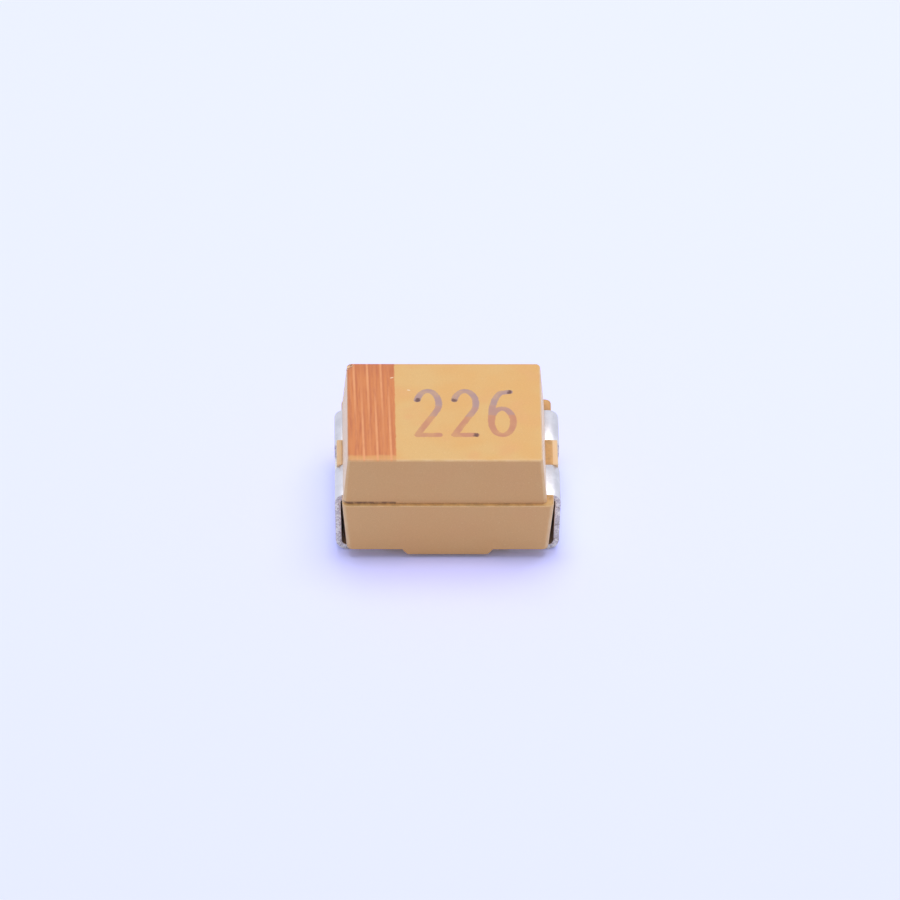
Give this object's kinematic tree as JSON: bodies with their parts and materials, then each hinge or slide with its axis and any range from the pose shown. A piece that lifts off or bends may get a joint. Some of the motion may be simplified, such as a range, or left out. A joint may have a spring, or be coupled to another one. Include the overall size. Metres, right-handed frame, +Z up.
{
  "type": "tantalum capacitor",
  "caption": "Surface-mount tantalum chip capacitor: coated sintered pellet in a moulded case, with folded terminals under both ends and a polarity band on the anode end.",
  "frame": {"origin": "on the board, under the middle of the part", "axes": "+X from the anode end with the polarity band to the cathode end, +Y across the width, +Z up from the board"},
  "size_m": [0.0034, 0.0028, 0.0019],
  "materials": {
    "epoxy": "moulded, fine grain, slight sheen",
    "tinned_lead": "matte tin plate, sheared edges",
    "tantalum_wire": "drawn",
    "tantalum_sponge": "sintered",
    "manganese_dioxide": "matte",
    "carbon": "matte",
    "silver_paint": "satin",
    "silver_adhesive": "matte",
    "washer_plastic": "waxy"
  },
  "bodies": {
    "root": {"moulded_case": "epoxy", "anode_lead": "tinned_lead", "cathode_lead": "tinned_lead", "anode_wire": "tantalum_wire", "anode_pellet": "tantalum_sponge", "manganese_dioxide_layer": "manganese_dioxide", "carbon_layer": "carbon", "silver_paint_layer": "silver_paint", "silver_adhesive": "silver_adhesive", "insulating_washer": "washer_plastic"}
  },
  "joints": []
}
